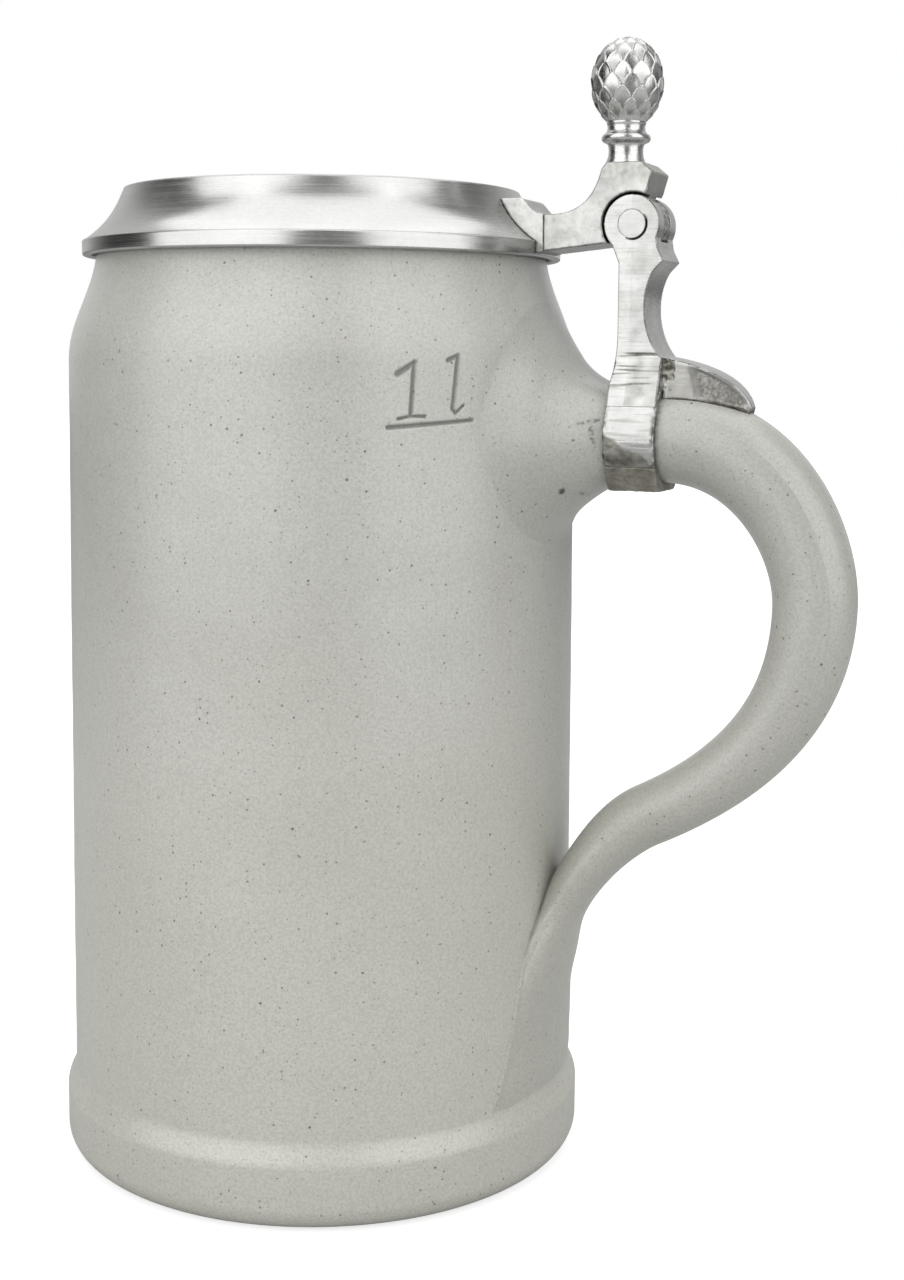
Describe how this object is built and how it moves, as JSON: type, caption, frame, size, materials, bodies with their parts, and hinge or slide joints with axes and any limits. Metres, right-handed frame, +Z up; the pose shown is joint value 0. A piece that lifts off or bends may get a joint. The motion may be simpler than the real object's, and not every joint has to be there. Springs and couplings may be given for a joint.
{
  "type": "lidded beer stein",
  "caption": "Tall cylindrical stoneware litre mug with a looped handle and a hinged pewter lid worked by a cone-shaped thumb piece.",
  "frame": {"origin": "middle of the mug's underside, on the plane that it stands on", "axes": "+Z up along the mug's axis; +X towards the handle and the lid's hinge; the hinge pin runs along Y"},
  "size_m": [0.1703, 0.1122, 0.2321],
  "materials": {
    "stoneware": "matt, fine dark specks",
    "cast_pewter": "cast and filed pewter, satin",
    "soldered_pewter": "rough soldered pewter",
    "polished_pewter": "polished pewter",
    "turned_pewter": "turned pewter, satin"
  },
  "bodies": {
    "mug": {"mug_body": "stoneware", "mug_handle": "stoneware", "hinge_post": "cast_pewter", "strap_band": "cast_pewter", "strap_closure": "soldered_pewter", "hinge_pin": "polished_pewter"},
    "lid": {"lid": "turned_pewter", "lid_tang": "cast_pewter", "lid_arm": "cast_pewter", "thumb_cone": "polished_pewter"}
  },
  "joints": [
    {"name": "lid_hinge", "type": "hinge", "parent": "mug", "child": "lid", "pos_m": [0.069, 0, 0.1962], "axis": [0, 1, 0], "range_deg": [0, 96]}
  ]
}
